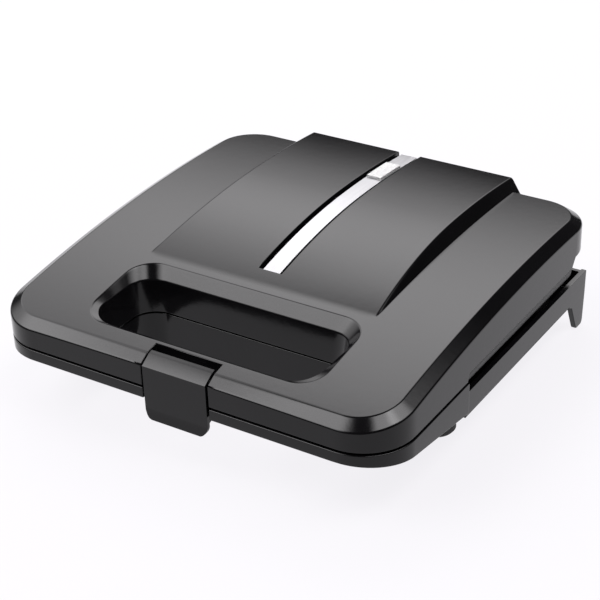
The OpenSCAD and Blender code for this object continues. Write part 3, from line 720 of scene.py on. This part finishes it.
def make_materials():
    steel_low, steel_high = (0.45, 0.45, 0.46), (0.62, 0.62, 0.63)
    along_y = (900, 14, 900)
    return {
        "gloss_black": gloss_black(), "satin_black": satin_black(), "rubber": rubber(),
        "non_stick": non_stick(), "element_sheath": heated_steel(),
        "sheet_steel": brushed_metal("sheet_steel", steel_low, steel_high, (30, 900, 900)),
        "screw_steel": brushed_metal("screw_steel", (0.5, 0.5, 0.49), (0.66, 0.66, 0.64),
                                     (600, 600, 600)),
        "pin_steel": brushed_metal("pin_steel", (0.5, 0.5, 0.5), (0.7, 0.7, 0.7), (40, 900, 900)),
        "brushed_strip": brushed_metal("brushed_strip", (0.34, 0.34, 0.35), (0.42, 0.42, 0.43),
                                       along_y, (0.36, 0.46)),
        "reflector": bright_foil(), "braid": fibre_braid(),
        "block_plastic": plain_plastic("block_plastic", (0.70, 0.69, 0.66), (0.80, 0.79, 0.76)),
        "gland_plastic": plain_plastic("gland_plastic", (0.02, 0.02, 0.02), (0.032, 0.032, 0.032)),
        "lens": frosted_lens(), "neon_glass": lamp_glass(),
    }


def dress(piece, material):
    piece.data.materials.clear()
    piece.data.materials.append(material)


def soften(piece, width, angle=28):
    """Round a piece's edges by a width in millimetres, with modifiers that leave its mesh alone."""
    weld = piece.modifiers.new("weld", "WELD")
    weld.merge_threshold = 0.02 * MM
    bevel = piece.modifiers.new("bevel", "BEVEL")
    bevel.width = width * MM
    bevel.segments = 3
    bevel.limit_method = "ANGLE"
    bevel.angle_limit = math.radians(angle)
    bevel.use_clamp_overlap = False
    bevel.miter_outer = "MITER_ARC"
    bevel.harden_normals = False
    lean = piece.modifiers.new("lean", "WEIGHTED_NORMAL")
    lean.weight = 100
    lean.thresh = 0.01
    lean.keep_sharp = False


# ---- stage ----

FLOOR_HALF = 14.0  # metres


def build_floor():
    """Pale floor that glows a little, so that it stays near white round the object."""
    made = bmesh.new()
    bmesh.ops.create_grid(made, x_segments=8, y_segments=8, size=FLOOR_HALF)
    mesh = bpy.data.meshes.new("floor")
    made.to_mesh(mesh)
    made.free()
    floor = bpy.data.objects.new("floor", mesh)
    bpy.context.scene.collection.objects.link(floor)
    n = Nodes("pale_floor")
    dress(floor, n.finish(Base_Color=(0.045, 0.045, 0.045, 1), Roughness=0.9,
                          Emission_Color=(0.98, 0.965, 1.0, 1), Emission_Strength=0.87))


class Sky:
    """World shader built from soft light banks, each placed by azimuth from +Y and elevation."""

    def __init__(self):
        world = bpy.data.worlds.new("studio")
        bpy.context.scene.world = world
        world.use_nodes = True
        self.tree = world.node_tree
        place = self.tree.nodes.new("ShaderNodeTexCoord").outputs["Generated"]
        axes = self.tree.nodes.new("ShaderNodeSeparateXYZ")
        self.tree.links.new(place, axes.inputs[0])
        turn = 180 / math.pi
        self.azimuth = self.maths("MULTIPLY", self.maths("ARCTAN2", axes.outputs[0], axes.outputs[1]),
                                  turn)
        self.elevation = self.maths("MULTIPLY", self.maths("ARCSINE", axes.outputs[2]), turn)
        self.total = None

    def maths(self, operation, *values):
        node = self.tree.nodes.new("ShaderNodeMath")
        node.operation = operation
        for socket, value in zip(node.inputs, values):
            if isinstance(value, bpy.types.NodeSocket):
                self.tree.links.new(value, socket)
            else:
                socket.default_value = value
        return node.outputs["Value"]

    def soft_step(self, value, start, end):
        node = self.tree.nodes.new("ShaderNodeMapRange")
        node.interpolation_type = "SMOOTHSTEP"
        self.tree.links.new(value, node.inputs["Value"])
        node.inputs["From Min"].default_value = start
        node.inputs["From Max"].default_value = end
        return node.outputs["Result"]

    def bank(self, centre, half_width, side_edge, rise, fall, strength):
        """Adds a bank round a centre azimuth, full between rise[1] and fall[0] in elevation.

        All angles are in degrees. It fades out over side_edge at its sides, below rise[1] and
        above fall[0].
        """
        off = self.maths("WRAP", self.maths("SUBTRACT", self.azimuth, centre), 180, -180)
        across = self.soft_step(self.maths("ABSOLUTE", off), half_width + side_edge,
                                half_width - side_edge)
        light = self.maths("MULTIPLY", across, self.soft_step(self.elevation, *rise))
        light = self.maths("MULTIPLY", light, self.soft_step(self.elevation, fall[1], fall[0]))
        light = self.maths("MULTIPLY", light, strength)
        self.total = light if self.total is None else self.maths("ADD", self.total, light)

    def finish(self, ambient):
        background = self.tree.nodes["Background"]
        self.tree.links.new(self.maths("ADD", self.total, ambient), background.inputs["Strength"])
        background.inputs["Color"].default_value = (1.0, 0.985, 1.0, 1)


def build_light():
    """Banks at the back, the left, the front left, the back right and the right of a dim room."""
    sky = Sky()
    sky.bank(-27, 24, 14, (13, 43), (47, 62), 5.1)
    sky.bank(-84, 28, 16, (8, 32), (56, 66), 3.5)
    sky.bank(-132, 26, 16, (22, 38), (60, 68), 8.6)
    sky.bank(64, 26, 14, (33, 60), (70, 80), 8.0)
    sky.bank(110, 34, 14, (53, 64), (72, 80), 8.4)
    sky.finish(0.05)


def build_camera():
    """Camera at the photograph's angle: azimuth and elevation round a target near the seam."""
    azimuth, elevation, roll = (math.radians(a) for a in (33.11, 29.83, -1.93))
    distance = 896.63 * MM
    target = Vector((2.48, 112.32 + FRONT, 40.0)) * MM
    back = Vector((math.sin(azimuth) * math.cos(elevation),
                   -math.cos(azimuth) * math.cos(elevation), math.sin(elevation)))
    right = Vector((0, 0, 1)).cross(back).normalized()
    up = back.cross(right)
    turned_right = right * math.cos(roll) + up * math.sin(roll)
    turned_up = up * math.cos(roll) - right * math.sin(roll)
    data = bpy.data.cameras.new("camera")
    data.lens, data.sensor_width = 99.03, 36.0
    data.clip_start, data.clip_end = 0.01, 60
    camera = bpy.data.objects.new("camera", data)
    bpy.context.scene.collection.objects.link(camera)
    axes = Matrix((turned_right, turned_up, back)).transposed().to_4x4()
    camera.matrix_world = Matrix.Translation(target + back * distance) @ axes
    bpy.context.scene.camera = camera


# ---- assembly ----

materials = make_materials()
slot_of = {part["node"]: part["material_slot"] for part in frame["record"]["subparts"]}

build_camera()
build_light()
build_floor()
bpy.context.scene.view_settings.view_transform = "Standard"

for node, piece in frame["nodes"].items():
    dress(piece, materials[slot_of[node]])

soften(frame["nodes"]["base_shell"], 0.5)
for node in ("base_liner", "lid_liner", "cord_gland", "terminal_block", "lamp_holder"):
    soften(frame["nodes"][node], 0.3)
for node in ("trim_strip", "indicator_lens"):
    soften(frame["nodes"][node], 0.22)
soften(frame["nodes"]["latch"], 0.12)

cover = build_lid_cover()
dress(cover, materials["gloss_black"])
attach(cover, "lid")
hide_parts("lid_shell")

for side in (-1, 1):
    knuckle = build_knuckle(side)
    dress(knuckle, materials["gloss_black"])
    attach(knuckle, "lid")
